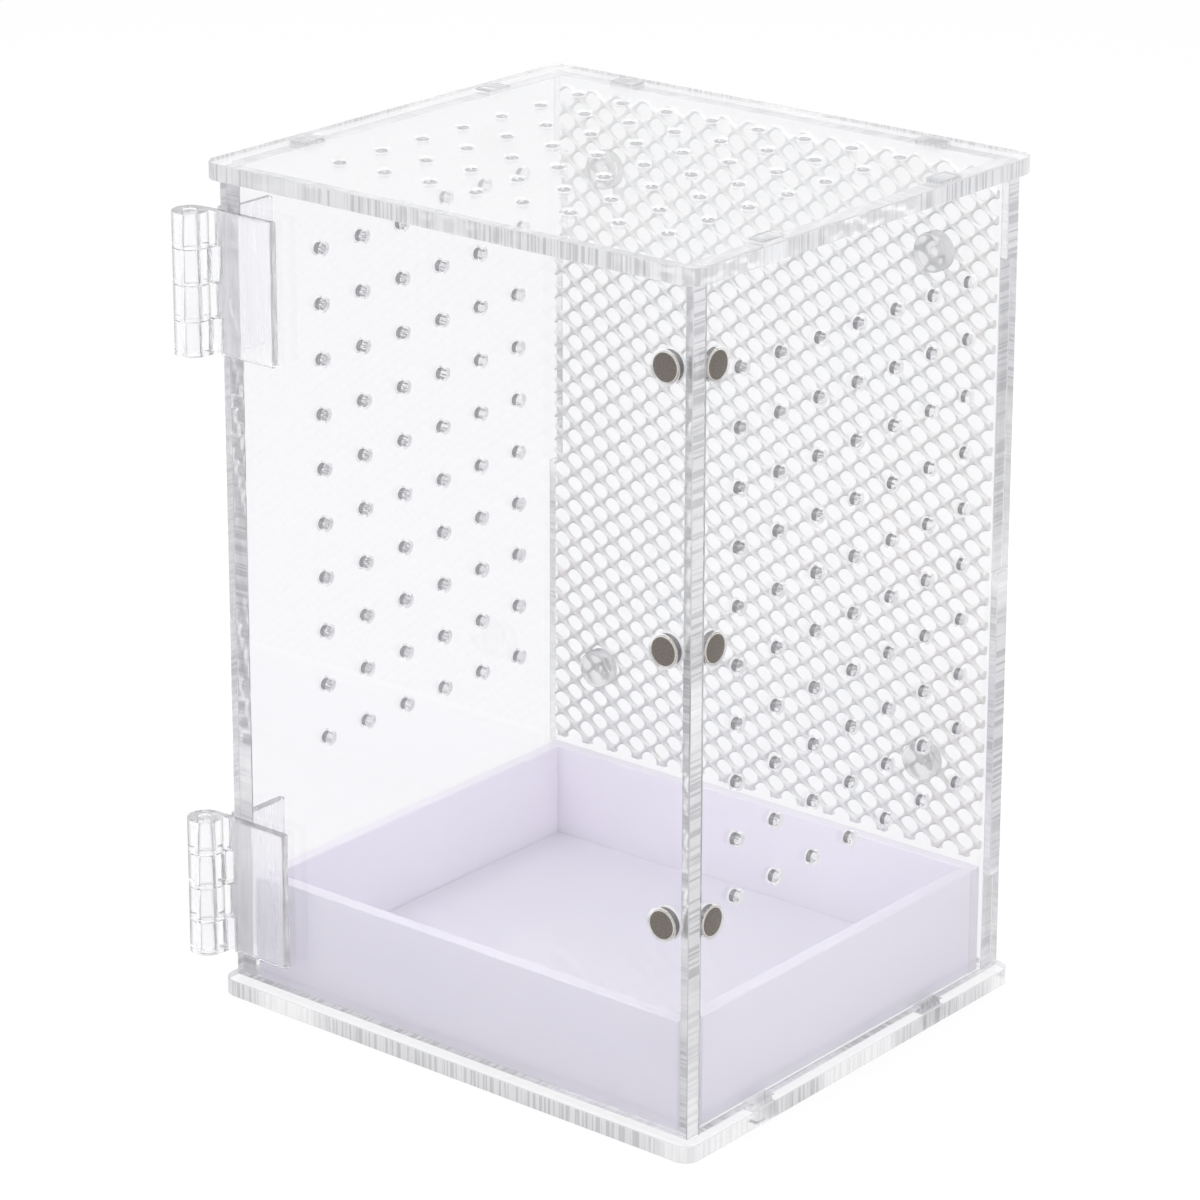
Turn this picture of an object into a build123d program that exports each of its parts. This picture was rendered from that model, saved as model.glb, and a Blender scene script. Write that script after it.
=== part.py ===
"""Acrylic breeding box: clear laser-cut panels, a magnet-held door, a milky tray and a climbing net.

All sizes are in millimetres. X runs across the door from its hinges to its free edge, Y runs from
the door to the back wall, and Z is up. The origin is the centre of the underside of the base,
midway between the outer faces of the walls.
"""
import os

from build123d import *

os.makedirs("parts", exist_ok=True)

# Overall size and the clear sheet
box_width = 100.0  # outer faces of the two side walls
box_depth = 88.0  # outer face of the door to outer face of the back wall
box_height = 150.0  # underside of the base to upper face of the top
sheet = 3.0  # thickness of every clear panel
overhang = 2.0  # base and top beyond the walls, on all four sides
plate_corner = 3.0  # corner radius of base and top
glue_line = 0.05  # gap in a welded joint between two panels
seat_clearance = 0.1  # gap round a tab or a magnet in its cut-out

# Tabs of the walls in the base and the top
tab_length = 5.0
side_tab_pitch = 48.0  # between the two tabs of a side wall
back_tab_pitch = 66.0  # between the two tabs of the back wall

# Fingers of the two back corners, counted from the base up
first_finger = 18.0  # lowest finger, on the side wall
finger_pitch = 55.8  # every finger above it, in turn on the back wall and on the side wall

# Tray
tray_height = 19.5
tray_sheet = 2.5  # thickness of the milky sheet
tray_clearance = 0.5  # round the tray inside the box

# Ventilation holes
vent_diameter = 2.1  # across the corners
vent_sides = 8  # the small round holes are drawn with flats
vent_pitch_across = 9.9  # along X, in the top
vent_pitch_deep = 10.33  # along Y, in the top and the side walls
vent_pitch_high = 9.9  # along Z, in the side walls
vent_margin_across = 12.0  # least distance of a hole from the side walls
vent_margin_deep = 9.5  # least distance of a hole from the door and the back wall
vent_drop = 16.4  # upper row below the top
vent_rise = 18.5  # least height of the lower row above the tray's rim

# Door
door_gap = 0.2  # behind the door, and beside its hinge edge
door_rise = 0.4  # above and below the door

# Magnets: discs through the door and through the right wall
magnet_diameter = 5.0
magnet_edge = 0.25  # bevel of a disc's rim
magnet_drop = 14.3  # upper magnets below the top
magnet_rise = 17.0  # lower magnets above the tray's rim
door_magnet_land = 2.9  # from the door's free edge to the magnet's seat
wall_magnet_land = 0.5  # from the right wall's front edge to the magnet's seat

# Hinges: two moulded leaves with two knuckles each, and a pin
hinge_height = 25.0
hinge_margin = 5.25  # lower hinge above the base and upper hinge below the top
hinge_reach = 16.5  # pin to the outer edge of a leaf
barrel_diameter = 6.2
barrel_stand_off = 0.35  # barrel off the plane of the door and of the left wall
leaf_thickness = 1.5
leaf_setback = 0.9  # between its knuckles a leaf starts this far from the corner
leaf_corner = 0.3  # rounding of the leaf's two far corners
knuckle_count = 4
knuckle_gap = 0.2
pin_diameter = 2.4
pin_clearance = 0.05  # radial
pin_recess = 0.3  # end of the pin inside the end of the barrel

# Climbing net on the back wall, drawn with fewer and larger gaps than the real one
net_thickness = 1.2
net_strand = 2.0
net_pitch_across = 11.6  # wanted pitch: the true one puts a gap on every button
net_pitch_high = 8.4
net_blunt = 0.8  # the upper and lower corners of a gap are cut this wide
net_margin = 0.5  # between the net and the side walls
net_rise = 1.3  # above the tray's rim
net_drop = 1.5  # below the top
net_edge_share = 0.6  # a gap is left out if less than about a fifth of it meets the net

# Buttons that hold the net
button_diameter = 7.0
button_height = 2.6
button_edge = 0.8  # bevel of the head's rim
button_stem = 2.0
button_inset = 15.0  # from the outer face of the side walls
button_drop = 15.0  # upper buttons below the top
button_rise = 17.5  # lower buttons above the tray's rim

# Faces and levels that follow
left = -box_width / 2
right = box_width / 2
front = -box_depth / 2
back = box_depth / 2
floor_level = sheet
ceiling_level = box_height - sheet
inner_left = left + sheet
inner_right = right - sheet
inner_front = front + sheet
inner_back = back - sheet
wall_front = inner_front + door_gap
wall_bottom = floor_level + glue_line
wall_top = ceiling_level - glue_line
tray_rim = floor_level + tray_height


def rectangle_between(x_low, x_high, y_low, y_high):
    """Adds a rectangle with these two stretches to the sketch."""
    with Locations(((x_low + x_high) / 2, (y_low + y_high) / 2)):
        Rectangle(x_high - x_low, y_high - y_low)


def fitting(length, pitch):
    """Returns how many holes at this pitch fit in a length, the first and the last at its ends."""
    return int(length / pitch) + 1


def keep(builder, label):
    """Labels the finished piece and writes it to its own file."""
    builder.part.label = label
    export_step(builder.part, f"parts/{label}.step")


# Base and top: one rounded outline with slots for the tabs, and vents in the top
slot_length = tab_length + 2 * seat_clearance
slot_width = sheet + 2 * seat_clearance
vents_across = fitting(inner_right - inner_left - 2 * vent_margin_across, vent_pitch_across)
vents_deep = fitting(inner_back - inner_front - 2 * vent_margin_deep, vent_pitch_deep)

with BuildSketch() as plate_outline:
    RectangleRounded(box_width + 2 * overhang, box_depth + 2 * overhang, plate_corner)
    with GridLocations(box_width - sheet, side_tab_pitch, 2, 2):
        Rectangle(slot_width, slot_length, mode=Mode.SUBTRACT)
    with Locations((0, back - sheet / 2)):
        with GridLocations(back_tab_pitch, 0, 2, 1):
            Rectangle(slot_length, slot_width, mode=Mode.SUBTRACT)

with BuildPart() as base_plate:
    with BuildSketch():
        add(plate_outline.sketch_local)
    extrude(amount=sheet)
keep(base_plate, "base_plate")

with BuildPart() as top_plate:
    with BuildSketch(Plane.XY.offset(ceiling_level)):
        add(plate_outline.sketch_local)
        with GridLocations(vent_pitch_across, vent_pitch_deep, vents_across, vents_deep):
            RegularPolygon(vent_diameter / 2, vent_sides, mode=Mode.SUBTRACT)
    extrude(amount=sheet)
keep(top_plate, "top_plate")

# Fingers of a back corner: stretches along Z, in turn of the side walls and of the back wall
finger_levels = [wall_bottom]
next_level = floor_level + first_finger
while next_level < wall_top:
    finger_levels.append(next_level)
    next_level += finger_pitch
finger_levels.append(wall_top)
fingers = [(low + glue_line, high - glue_line) for low, high in zip(finger_levels, finger_levels[1:])]
side_fingers = fingers[0::2]
back_fingers = fingers[1::2]

# Magnets stand in rows, at the same levels in the door and in the right wall
magnet_seat = magnet_diameter / 2 + seat_clearance
upper_magnet = ceiling_level - magnet_drop
lower_magnet = tray_rim + magnet_rise
magnet_levels = {
    "lower": lower_magnet,
    "middle": (lower_magnet + upper_magnet) / 2,
    "upper": upper_magnet,
}
door_magnet_x = right - door_magnet_land - magnet_seat
wall_magnet_y = wall_front + wall_magnet_land + magnet_seat

# Side walls: tabs up and down, fingers at the back, and vents
upper_vent = ceiling_level - vent_drop
vents_high = fitting(upper_vent - tray_rim - vent_rise, vent_pitch_high)
vent_middle = upper_vent - (vents_high - 1) * vent_pitch_high / 2

with BuildSketch() as side_outline:
    rectangle_between(wall_front, inner_back - glue_line, wall_bottom, wall_top)
    with Locations((0, box_height / 2)):
        with GridLocations(side_tab_pitch, 0, 2, 1):
            Rectangle(tab_length, box_height)
    for low, high in side_fingers:
        rectangle_between(inner_back - sheet, back, low, high)

with BuildPart() as left_wall:
    with BuildSketch(Plane.YZ.offset(left)):
        add(side_outline.sketch_local)
        # The column nearest the door is left out, where the hinge leaves are glued on
        with Locations((vent_pitch_deep / 2, vent_middle)):
            with GridLocations(vent_pitch_deep, vent_pitch_high, vents_deep - 1, vents_high):
                RegularPolygon(vent_diameter / 2, vent_sides, mode=Mode.SUBTRACT)
    extrude(amount=sheet)
keep(left_wall, "left_wall")

with BuildPart() as right_wall:
    with BuildSketch(Plane.YZ.offset(inner_right)):
        add(side_outline.sketch_local)
        with Locations((0, vent_middle)):
            with GridLocations(vent_pitch_deep, vent_pitch_high, vents_deep, vents_high):
                RegularPolygon(vent_diameter / 2, vent_sides, mode=Mode.SUBTRACT)
        with Locations(*[(wall_magnet_y, level) for level in magnet_levels.values()]):
            Circle(magnet_seat, mode=Mode.SUBTRACT)
    extrude(amount=sheet)
keep(right_wall, "right_wall")

# Back wall: a plain panel between the side walls, with tabs, and fingers past both sides
with BuildPart() as back_wall:
    with BuildSketch(Plane.XZ.offset(-back)):
        rectangle_between(inner_left + glue_line, inner_right - glue_line, wall_bottom, wall_top)
        with Locations((0, box_height / 2)):
            with GridLocations(back_tab_pitch, 0, 2, 1):
                Rectangle(tab_length, box_height)
        for low, high in back_fingers:
            rectangle_between(left, right, low, high)
    extrude(amount=sheet)
keep(back_wall, "back_wall")

# Door: a plain panel with the magnets' seats near its free edge
with BuildPart() as door_panel:
    with BuildSketch(Plane.XZ.offset(-front)):
        rectangle_between(left + door_gap, right, floor_level + door_rise, ceiling_level - door_rise)
        with Locations(*[(door_magnet_x, level) for level in magnet_levels.values()]):
            Circle(magnet_seat, mode=Mode.SUBTRACT)
    extrude(amount=-sheet)
keep(door_panel, "door_panel")

# Magnets: one disc in each seat, flush with both faces of the sheet
for row, level in magnet_levels.items():
    with BuildPart() as door_magnet:
        with BuildSketch(Plane.XZ.offset(-front)):
            with Locations((door_magnet_x, level)):
                Circle(magnet_diameter / 2)
        extrude(amount=-sheet)
        chamfer(door_magnet.edges().filter_by(GeomType.CIRCLE), magnet_edge)
    keep(door_magnet, f"door_magnet_{row}")

    with BuildPart() as wall_magnet:
        with BuildSketch(Plane.YZ.offset(inner_right)):
            with Locations((wall_magnet_y, level)):
                Circle(magnet_diameter / 2)
        extrude(amount=sheet)
        chamfer(wall_magnet.edges().filter_by(GeomType.CIRCLE), magnet_edge)
    keep(wall_magnet, f"wall_magnet_{row}")

# Hinge profile, as distances from the corner of the door and the left wall: along the panel, and
# off its outer face. The two leaves of a hinge are alike, and mirror each other across the corner.
barrel_radius = barrel_diameter / 2
pin_off = barrel_stand_off + barrel_radius
bore_radius = pin_diameter / 2 + pin_clearance
leaf_end = hinge_reach - pin_off
leaf_outline = [
    (leaf_setback, 0),
    (leaf_end, 0),
    (leaf_end, leaf_thickness),
    (leaf_setback, leaf_thickness),
]
web_outline = [
    (-pin_off, barrel_stand_off),
    (0, 0),
    (leaf_setback, 0),
    (leaf_setback, leaf_thickness),
    (-pin_off, leaf_thickness),
]
knuckle_pitch = hinge_height / knuckle_count
knuckle_length = knuckle_pitch - knuckle_gap


def on_door(along, off):
    """Returns a point of the profile laid along the door."""
    return left + along, front - off


def on_wall(along, off):
    """Returns a point of the profile laid along the left wall."""
    return left - off, front + along


# Each leaf: its label, how it is laid, which way it runs, and its lowest knuckle
leaves = (
    ("door_leaf", on_door, Axis.X, 1),
    ("wall_leaf", on_wall, Axis.Y, 0),
)
hinge_bottoms = {
    "lower": floor_level + hinge_margin,
    "upper": ceiling_level - hinge_margin - hinge_height,
}
pin_place = on_door(-pin_off, pin_off)

for place, bottom in hinge_bottoms.items():
    for label, lay, run, lowest in leaves:
        with BuildPart() as hinge_leaf:
            with BuildSketch(Plane.XY.offset(bottom)):
                Polygon(*[lay(*point) for point in leaf_outline], align=None)
            extrude(amount=hinge_height)
            far_corners = hinge_leaf.faces().sort_by(run)[-1].edges().filter_by(Axis.Z, reverse=True)
            fillet(far_corners, leaf_corner)
            for knuckle in range(lowest, knuckle_count, 2):
                with BuildSketch(Plane.XY.offset(bottom + knuckle * knuckle_pitch + knuckle_gap / 2)):
                    Polygon(*[lay(*point) for point in web_outline], align=None)
                    with Locations(pin_place):
                        Circle(barrel_radius)
                extrude(amount=knuckle_length)
            with BuildSketch(Plane.XY.offset(bottom)):
                with Locations(pin_place):
                    Circle(bore_radius)
            extrude(amount=hinge_height, mode=Mode.SUBTRACT)
        keep(hinge_leaf, f"{place}_hinge_{label}")

    with BuildPart() as hinge_pin:
        with BuildSketch(Plane.XY.offset(bottom + pin_recess)):
            with Locations(pin_place):
                Circle(pin_diameter / 2)
        extrude(amount=hinge_height - 2 * pin_recess)
    keep(hinge_pin, f"{place}_hinge_pin")

# Tray: four walls of milky sheet that stand on the base, and a floor between them that lies on it
tray_left = inner_left + tray_clearance
tray_right = inner_right - tray_clearance
tray_front = inner_front + tray_clearance
tray_back = inner_back - tray_clearance
hollow_left = tray_left + tray_sheet + glue_line
hollow_right = tray_right - tray_sheet - glue_line
hollow_front = tray_front + tray_sheet + glue_line
hollow_back = tray_back - tray_sheet - glue_line

for label, start in (("tray_front", tray_front), ("tray_back", tray_back - tray_sheet)):
    with BuildPart() as long_wall:
        with BuildSketch(Plane.XZ.offset(-start)):
            rectangle_between(tray_left, tray_right, floor_level, tray_rim)
        extrude(amount=-tray_sheet)
    keep(long_wall, label)

for label, start in (("tray_left", tray_left), ("tray_right", tray_right - tray_sheet)):
    with BuildPart() as short_wall:
        with BuildSketch(Plane.YZ.offset(start)):
            rectangle_between(hollow_front, hollow_back, floor_level, tray_rim)
        extrude(amount=tray_sheet)
    keep(short_wall, label)

with BuildPart() as tray_floor:
    with BuildSketch(Plane.XY.offset(floor_level)):
        rectangle_between(hollow_left, hollow_right, hollow_front, hollow_back)
    extrude(amount=tray_sheet)
keep(tray_floor, "tray_floor")

# Buttons stand in two columns and two rows
button_columns = {"left": left + button_inset, "right": right - button_inset}
button_rows = {"lower": tray_rim + button_rise, "upper": ceiling_level - button_drop}

# Climbing net: slanting strands that cross, cut to size straight through the outer gaps
net_left = inner_left + net_margin
net_right = inner_right - net_margin
net_bottom = tray_rim + net_rise
net_top = ceiling_level - net_drop
button_width = button_columns["right"] - button_columns["left"]
button_reach = button_rows["upper"] - button_rows["lower"]
half_pitch_x = button_width / round(button_width / net_pitch_across) / 2
half_pitch_z = button_reach / round(button_reach / net_pitch_high) / 2
strand_pitch = 2 * half_pitch_x * half_pitch_z / (half_pitch_x**2 + half_pitch_z**2) ** 0.5
gap_share = 1 - net_strand / strand_pitch
gap_half_x = half_pitch_x * gap_share
gap_half_z = half_pitch_z * gap_share
blunt_half_x = net_blunt / 2
blunt_half_z = gap_half_z * (1 - blunt_half_x / gap_half_x)
gap_outline = [
    (gap_half_x, 0),
    (blunt_half_x, blunt_half_z),
    (-blunt_half_x, blunt_half_z),
    (-gap_half_x, 0),
    (-blunt_half_x, -blunt_half_z),
    (blunt_half_x, -blunt_half_z),
]


def steps_within(low, high, start, step, reach):
    """Returns the steps from the start that lie between low and high, or past them by the reach."""
    first = int((low - reach - start) / step)
    last = int((high + reach - start) / step)
    return range(first, last + 1)


def gap_places():
    """Returns the centres of the net's gaps: every second crossing of the half pitches."""
    start_x = button_columns["left"]
    start_z = button_rows["lower"]
    columns = steps_within(net_left, net_right, start_x, half_pitch_x, gap_half_x * net_edge_share)
    rows = steps_within(net_bottom, net_top, start_z, half_pitch_z, gap_half_z * net_edge_share)
    return [
        (start_x + column * half_pitch_x, start_z + row * half_pitch_z)
        for row in rows
        for column in columns
        if (row + column) % 2 == 0
    ]


with BuildPart() as climbing_net:
    with BuildSketch(Plane.XZ.offset(-inner_back)):
        rectangle_between(net_left, net_right, net_bottom, net_top)
        with Locations(*gap_places()):
            Polygon(*gap_outline, align=None, mode=Mode.SUBTRACT)
    extrude(amount=net_thickness)
keep(climbing_net, "climbing_net")

# Buttons: a stem glued to the back wall through a gap, and a round head that clamps the net
for row, level in button_rows.items():
    for column, x in button_columns.items():
        with BuildPart() as net_button:
            with BuildSketch(Plane.XZ.offset(-inner_back)):
                with Locations((x, level)):
                    Circle(button_stem / 2)
            extrude(amount=net_thickness)
            with BuildSketch(Plane.XZ.offset(net_thickness - inner_back)):
                with Locations((x, level)):
                    Circle(button_diameter / 2)
            extrude(amount=button_height)
            rim = net_button.faces().sort_by(Axis.Y)[0].edges()
            chamfer(rim, button_edge)
        keep(net_button, f"net_button_{row}_{column}")
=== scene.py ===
"""Looks of a clear acrylic breeding box with a hinged door, a milky tray and a climbing net.

Lengths are in metres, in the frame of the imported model: X runs across the door from its hinges to
its free edge, Y from the door to the back wall, and Z up from the underside of the base.
"""
import logging
import math
from dataclasses import dataclass, field
from enum import Enum

import bmesh
import bpy
import numpy as np
from mathutils import Matrix, Vector
from mathutils.geometry import delaunay_2d_cdt


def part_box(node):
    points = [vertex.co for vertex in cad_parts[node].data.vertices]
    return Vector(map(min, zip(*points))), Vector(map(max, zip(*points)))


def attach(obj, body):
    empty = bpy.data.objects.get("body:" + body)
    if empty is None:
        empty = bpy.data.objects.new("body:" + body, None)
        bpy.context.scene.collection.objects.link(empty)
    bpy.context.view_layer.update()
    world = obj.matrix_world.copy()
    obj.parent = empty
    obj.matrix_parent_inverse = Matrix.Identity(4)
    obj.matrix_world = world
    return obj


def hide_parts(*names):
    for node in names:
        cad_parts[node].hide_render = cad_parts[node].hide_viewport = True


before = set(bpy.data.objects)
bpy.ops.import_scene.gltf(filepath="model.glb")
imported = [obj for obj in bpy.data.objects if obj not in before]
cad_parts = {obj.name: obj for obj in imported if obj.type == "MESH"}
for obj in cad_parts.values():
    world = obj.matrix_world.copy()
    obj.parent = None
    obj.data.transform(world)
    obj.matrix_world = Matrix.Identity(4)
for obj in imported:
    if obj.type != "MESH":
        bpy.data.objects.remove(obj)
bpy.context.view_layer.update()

MM = 0.001
BOX_BODY = "box"
DOOR_BODY = "door"
CUT = "cut"
BORE = "bore"
RIM = "rim"
LOG = logging.getLogger("breeding_box")
ACRYLIC_IOR = 1.49
QUARTER = math.pi / 2
FACING = 0.99
SAME_POINT = 1e-6
SHEET_SMOOTH = math.radians(40)

Colour = tuple[float, float, float]
Place = tuple[float, float, float]
Point = tuple[float, float]
Span = tuple[float, float]
Loop = np.ndarray
Socket = bpy.types.NodeSocket


class Flat(Enum):
    """The axis across a flat sheet, with the row axes that its outline lies in."""

    X = (1, 2, 0)
    Y = (0, 2, 1)
    Z = (0, 1, 2)

    def place(self, outline: np.ndarray, level: float) -> np.ndarray:
        """Puts plane points into space.

        Args:
            outline: Points in the plane, one row each.
            level: Their place along the axis across the sheet.

        Returns:
            The points as rows of X, Y and Z.
        """
        points = np.empty((len(outline), 3))
        points[:, self.value[0]] = outline[:, 0]
        points[:, self.value[1]] = outline[:, 1]
        points[:, self.value[2]] = level
        return points


class Row(Enum):
    """The rows of magnets, from the base up."""

    LOWER = "lower"
    MIDDLE = "middle"
    UPPER = "upper"


# Meshes


def circle(centre: Point, radius: float, sides: int) -> Loop:
    """Returns a round hole's loop: centre plus radius times cosine and minus sine, so it runs clockwise.

    Args:
        centre: The middle of the hole in the plane.
        radius: The hole's radius.
        sides: How many straight sides stand for the circle.

    Returns:
        The loop's points.
    """
    angle = np.arange(sides) * (2 * math.pi / sides)
    return np.stack([centre[0] + radius * np.cos(angle), centre[1] - radius * np.sin(angle)], axis=1)


def slot(centre: Point, size: Span) -> Loop:
    """Returns a rectangular hole's loop, clockwise.

    Args:
        centre: The middle of the hole in the plane.
        size: Its two sides.

    Returns:
        The loop's four points.
    """
    corners = np.array([(-0.5, -0.5), (-0.5, 0.5), (0.5, 0.5), (0.5, -0.5)])
    return np.array(centre) + corners * np.array(size)


def rounded_rectangle(low: Point, high: Point, radius: float, steps: int) -> Loop:
    """Returns a rectangle's outline with a quarter arc at each corner, counter-clockwise.

    Args:
        low: The lower left corner.
        high: The upper right corner.
        radius: The corners' radius.
        steps: Straight sides in each arc.

    Returns:
        The outline's points.
    """
    turn = np.linspace(0, QUARTER, steps + 1)
    quarters = np.arange(4)[:, None] * QUARTER + turn
    middle_x = np.array([high[0] - radius, low[0] + radius, low[0] + radius, high[0] - radius])
    middle_y = np.array([high[1] - radius, high[1] - radius, low[1] + radius, low[1] + radius])
    x = middle_x[:, None] + radius * np.cos(quarters)
    y = middle_y[:, None] + radius * np.sin(quarters)
    return np.stack([x.ravel(), y.ravel()], axis=1)


def grid(centre: Point, pitch: Span, count: tuple[int, int]) -> np.ndarray:
    """Returns the places of a rectangular pattern, as centre plus whole and half pitches.

    Args:
        centre: The middle of the pattern.
        pitch: The steps along both directions.
        count: How many places along both directions.

    Returns:
        One row for each place.
    """
    across = (np.arange(count[0]) - (count[0] - 1) / 2) * pitch[0] + centre[0]
    along = (np.arange(count[1]) - (count[1] - 1) / 2) * pitch[1] + centre[1]
    return np.stack([axis.ravel() for axis in np.meshgrid(across, along)], axis=1)


def stepped(level: float, outer: float, stretches: list[Span], upright: bool) -> np.ndarray:
    """Returns one side of an outline that steps out over some stretches, such as tabs or fingers.

    Args:
        level: Where the side lies between the stretches.
        outer: Where it lies on them.
        stretches: Their two ends, in the order of travel.
        upright: True if the side runs along the second direction of the plane.

    Returns:
        The side's points, four for each stretch.
    """
    ends = np.array(stretches)
    along = np.stack([ends[:, 0], ends[:, 0], ends[:, 1], ends[:, 1]], axis=1).ravel()
    off = np.tile([level, outer, outer, level], len(stretches))
    return np.stack([off, along] if upright else [along, off], axis=1)


def rounded_end(radius: float, level: float, rim: float, steps: int = 4) -> np.ndarray:
    """Returns the profile of a round end whose edge is a quarter arc.

    The radius is the full one less the rim, plus the rim times a sine. The level is the end's plus the
    rim, less the rim times a cosine.

    Args:
        radius: The full radius.
        level: Where the end lies along the axis.
        rim: The radius of the quarter arc at its edge.
        steps: Straight sides in the arc.

    Returns:
        Rows of radius and level, away from the end.
    """
    turn = np.linspace(0, QUARTER, steps + 1)
    return np.stack([radius - rim + rim * np.sin(turn), level + rim - rim * np.cos(turn)], axis=1)


def ring_faces(rings: int, sides: int) -> np.ndarray:
    """Returns the four corners of each face between rings of points that follow one another.

    Args:
        rings: How many rings there are.
        sides: Points in each ring.

    Returns:
        One row of four point numbers for each face, ring by ring.
    """
    here = np.arange(sides)
    after = np.roll(here, -1)
    base = np.arange(rings - 1)[:, None] * sides
    faces = np.stack([base + here, base + after, base + sides + after, base + sides + here], axis=-1)
    return faces.reshape(-1, 4)


def drawn_in(loop: Loop, distance: float) -> Loop:
    """Moves a loop to its left: each corner goes along the sum of its two sides' normals, mitred.

    Args:
        loop: The points, with the material on their left.
        distance: How far each side moves.

    Returns:
        The moved points.
    """
    side = np.roll(loop, -1, axis=0) - loop
    side = side / np.linalg.norm(side, axis=1, keepdims=True)
    after = np.stack([-side[:, 1], side[:, 0]], axis=1)
    before = np.roll(after, 1, axis=0)
    shared = 1 + np.sum(after * before, axis=1, keepdims=True)
    return loop + distance * (after + before) / shared


def inside(points: np.ndarray, loops: list[Loop]) -> np.ndarray:
    """Tells which points lie in the material: those whose ray to the right crosses an odd number of sides.

    Args:
        points: Plane points, one row each.
        loops: The outline and its holes.

    Returns:
        True for each point in the material.
    """
    start = np.concatenate(loops)
    end = np.concatenate([np.roll(loop, -1, axis=0) for loop in loops])
    y = points[:, 1:2]
    spans = (start[:, 1] > y) != (end[:, 1] > y)
    rise = np.where(end[:, 1] == start[:, 1], 1.0, end[:, 1] - start[:, 1])
    reach = start[:, 0] + (y - start[:, 1]) * (end[:, 0] - start[:, 0]) / rise
    return np.sum(spans & (points[:, 0:1] < reach), axis=1) % 2 == 1


def new_object(name: str, mesh: bpy.types.Mesh) -> bpy.types.Object:
    """Puts a mesh into the scene as an object at the origin.

    Args:
        name: The object's name.
        mesh: The mesh.

    Returns:
        The object.
    """
    thing = bpy.data.objects.new(name, mesh)
    bpy.context.scene.collection.objects.link(thing)
    return thing


def tidy(mesh: bpy.types.Mesh, smooth_under: float, merge: float = 0.0) -> None:
    """Turns all faces outwards and smooths the shading over shallow edges.

    Args:
        mesh: The closed mesh.
        smooth_under: Edges that turn less than this angle look smooth.
        merge: Points nearer than this become one.
    """
    work = bmesh.new()
    work.from_mesh(mesh)
    if merge:
        bmesh.ops.remove_doubles(work, verts=work.verts, dist=merge)
    bmesh.ops.recalc_face_normals(work, faces=work.faces)
    work.to_mesh(mesh)
    work.free()
    mesh.shade_smooth()
    mesh.set_sharp_from_angle(angle=smooth_under)


def marked(mesh: bpy.types.Mesh, name: str, values: np.ndarray) -> None:
    """Gives each face a number under this name, for its material to read."""
    mesh.attributes.new(name, "FLOAT", "FACE").data.foreach_set("value", values.astype(np.float32))


def per_face(mesh: bpy.types.Mesh, name: str) -> np.ndarray:
    """Reads a vector of every face, such as its center or its normal.

    Args:
        mesh: The mesh.
        name: The vector's name.

    Returns:
        One row of X, Y and Z for each face.
    """
    values = np.empty(len(mesh.polygons) * 3, np.float32)
    mesh.polygons.foreach_get(name, values)
    return values.reshape(-1, 3)


def flat_solid(
    name: str,
    flat: Flat,
    outline: Loop,
    holes: list[Loop],
    low: float,
    high: float,
    arris: float,
    hole_arris: float = 0.0,
) -> bpy.types.Object:
    """Makes a flat sheet with bevelled arrises round its outline and its holes.

    Each loop becomes four rings: drawn in at the lower face, full a little above it, full a little
    below the upper face, and drawn in at that face. Triangles between the loops close both faces.

    Args:
        name: The object's name.
        flat: The axis across the sheet.
        outline: Its outline, counter-clockwise.
        holes: Its holes, clockwise.
        low: The lower face along that axis.
        high: The upper face.
        arris: The bevel's width round the outline.
        hole_arris: The bevel's width round the holes.

    Returns:
        The object. CUT is 1 on its sides, BORE on those of its round holes and RIM on its bevels.
    """
    loops = [outline] + holes
    lengths = [len(loop) for loop in loops]
    inset = [drawn_in(outline, arris)] + [drawn_in(hole, hole_arris) for hole in holes]
    width = np.repeat([arris] + [hole_arris] * len(holes), lengths)
    full = np.concatenate(loops)
    small = np.concatenate(inset)
    count = len(full)
    starts = np.cumsum([0] + lengths[:-1])
    here = np.arange(count)
    after = np.concatenate([np.roll(np.arange(n), -1) + start for n, start in zip(lengths, starts)])
    points = np.concatenate([
        flat.place(small, low),
        flat.place(full, low + width),
        flat.place(full, high - width),
        flat.place(small, high),
    ])
    rings = np.arange(3)[:, None] * count
    sides = np.stack([rings + here, rings + after, rings + count + after, rings + count + here], axis=-1)
    sides = sides.reshape(-1, 4)
    millimetres = [Vector(point) for point in small / MM]
    found = delaunay_2d_cdt(millimetres, list(zip(here.tolist(), after.tolist())), [], 0, SAME_POINT)
    corners = np.array([corner[:] for corner in found[0]]) * MM
    source = np.array([ids[0] if ids else -1 for ids in found[3]])
    triangles = np.array(found[2])
    cap = source[triangles[inside(corners[triangles].mean(axis=1), inset)]]
    caps = np.concatenate([cap, cap + 3 * count])
    mesh = bpy.data.meshes.new(name)
    mesh.from_pydata(points.tolist(), [], caps.tolist() + sides.tolist())
    flat_part = np.zeros(len(caps))
    marked(mesh, CUT, np.concatenate([flat_part, np.ones(len(sides))]))
    round_hole = np.repeat([False] + [len(hole) > 4 for hole in holes], lengths)
    marked(mesh, BORE, np.concatenate([flat_part, np.tile(round_hole, 3)]))
    marked(mesh, RIM, np.concatenate([flat_part, np.repeat([1.0, 0.0, 1.0], count)]))
    tidy(mesh, SHEET_SMOOTH)
    return new_object(name, mesh)


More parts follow.
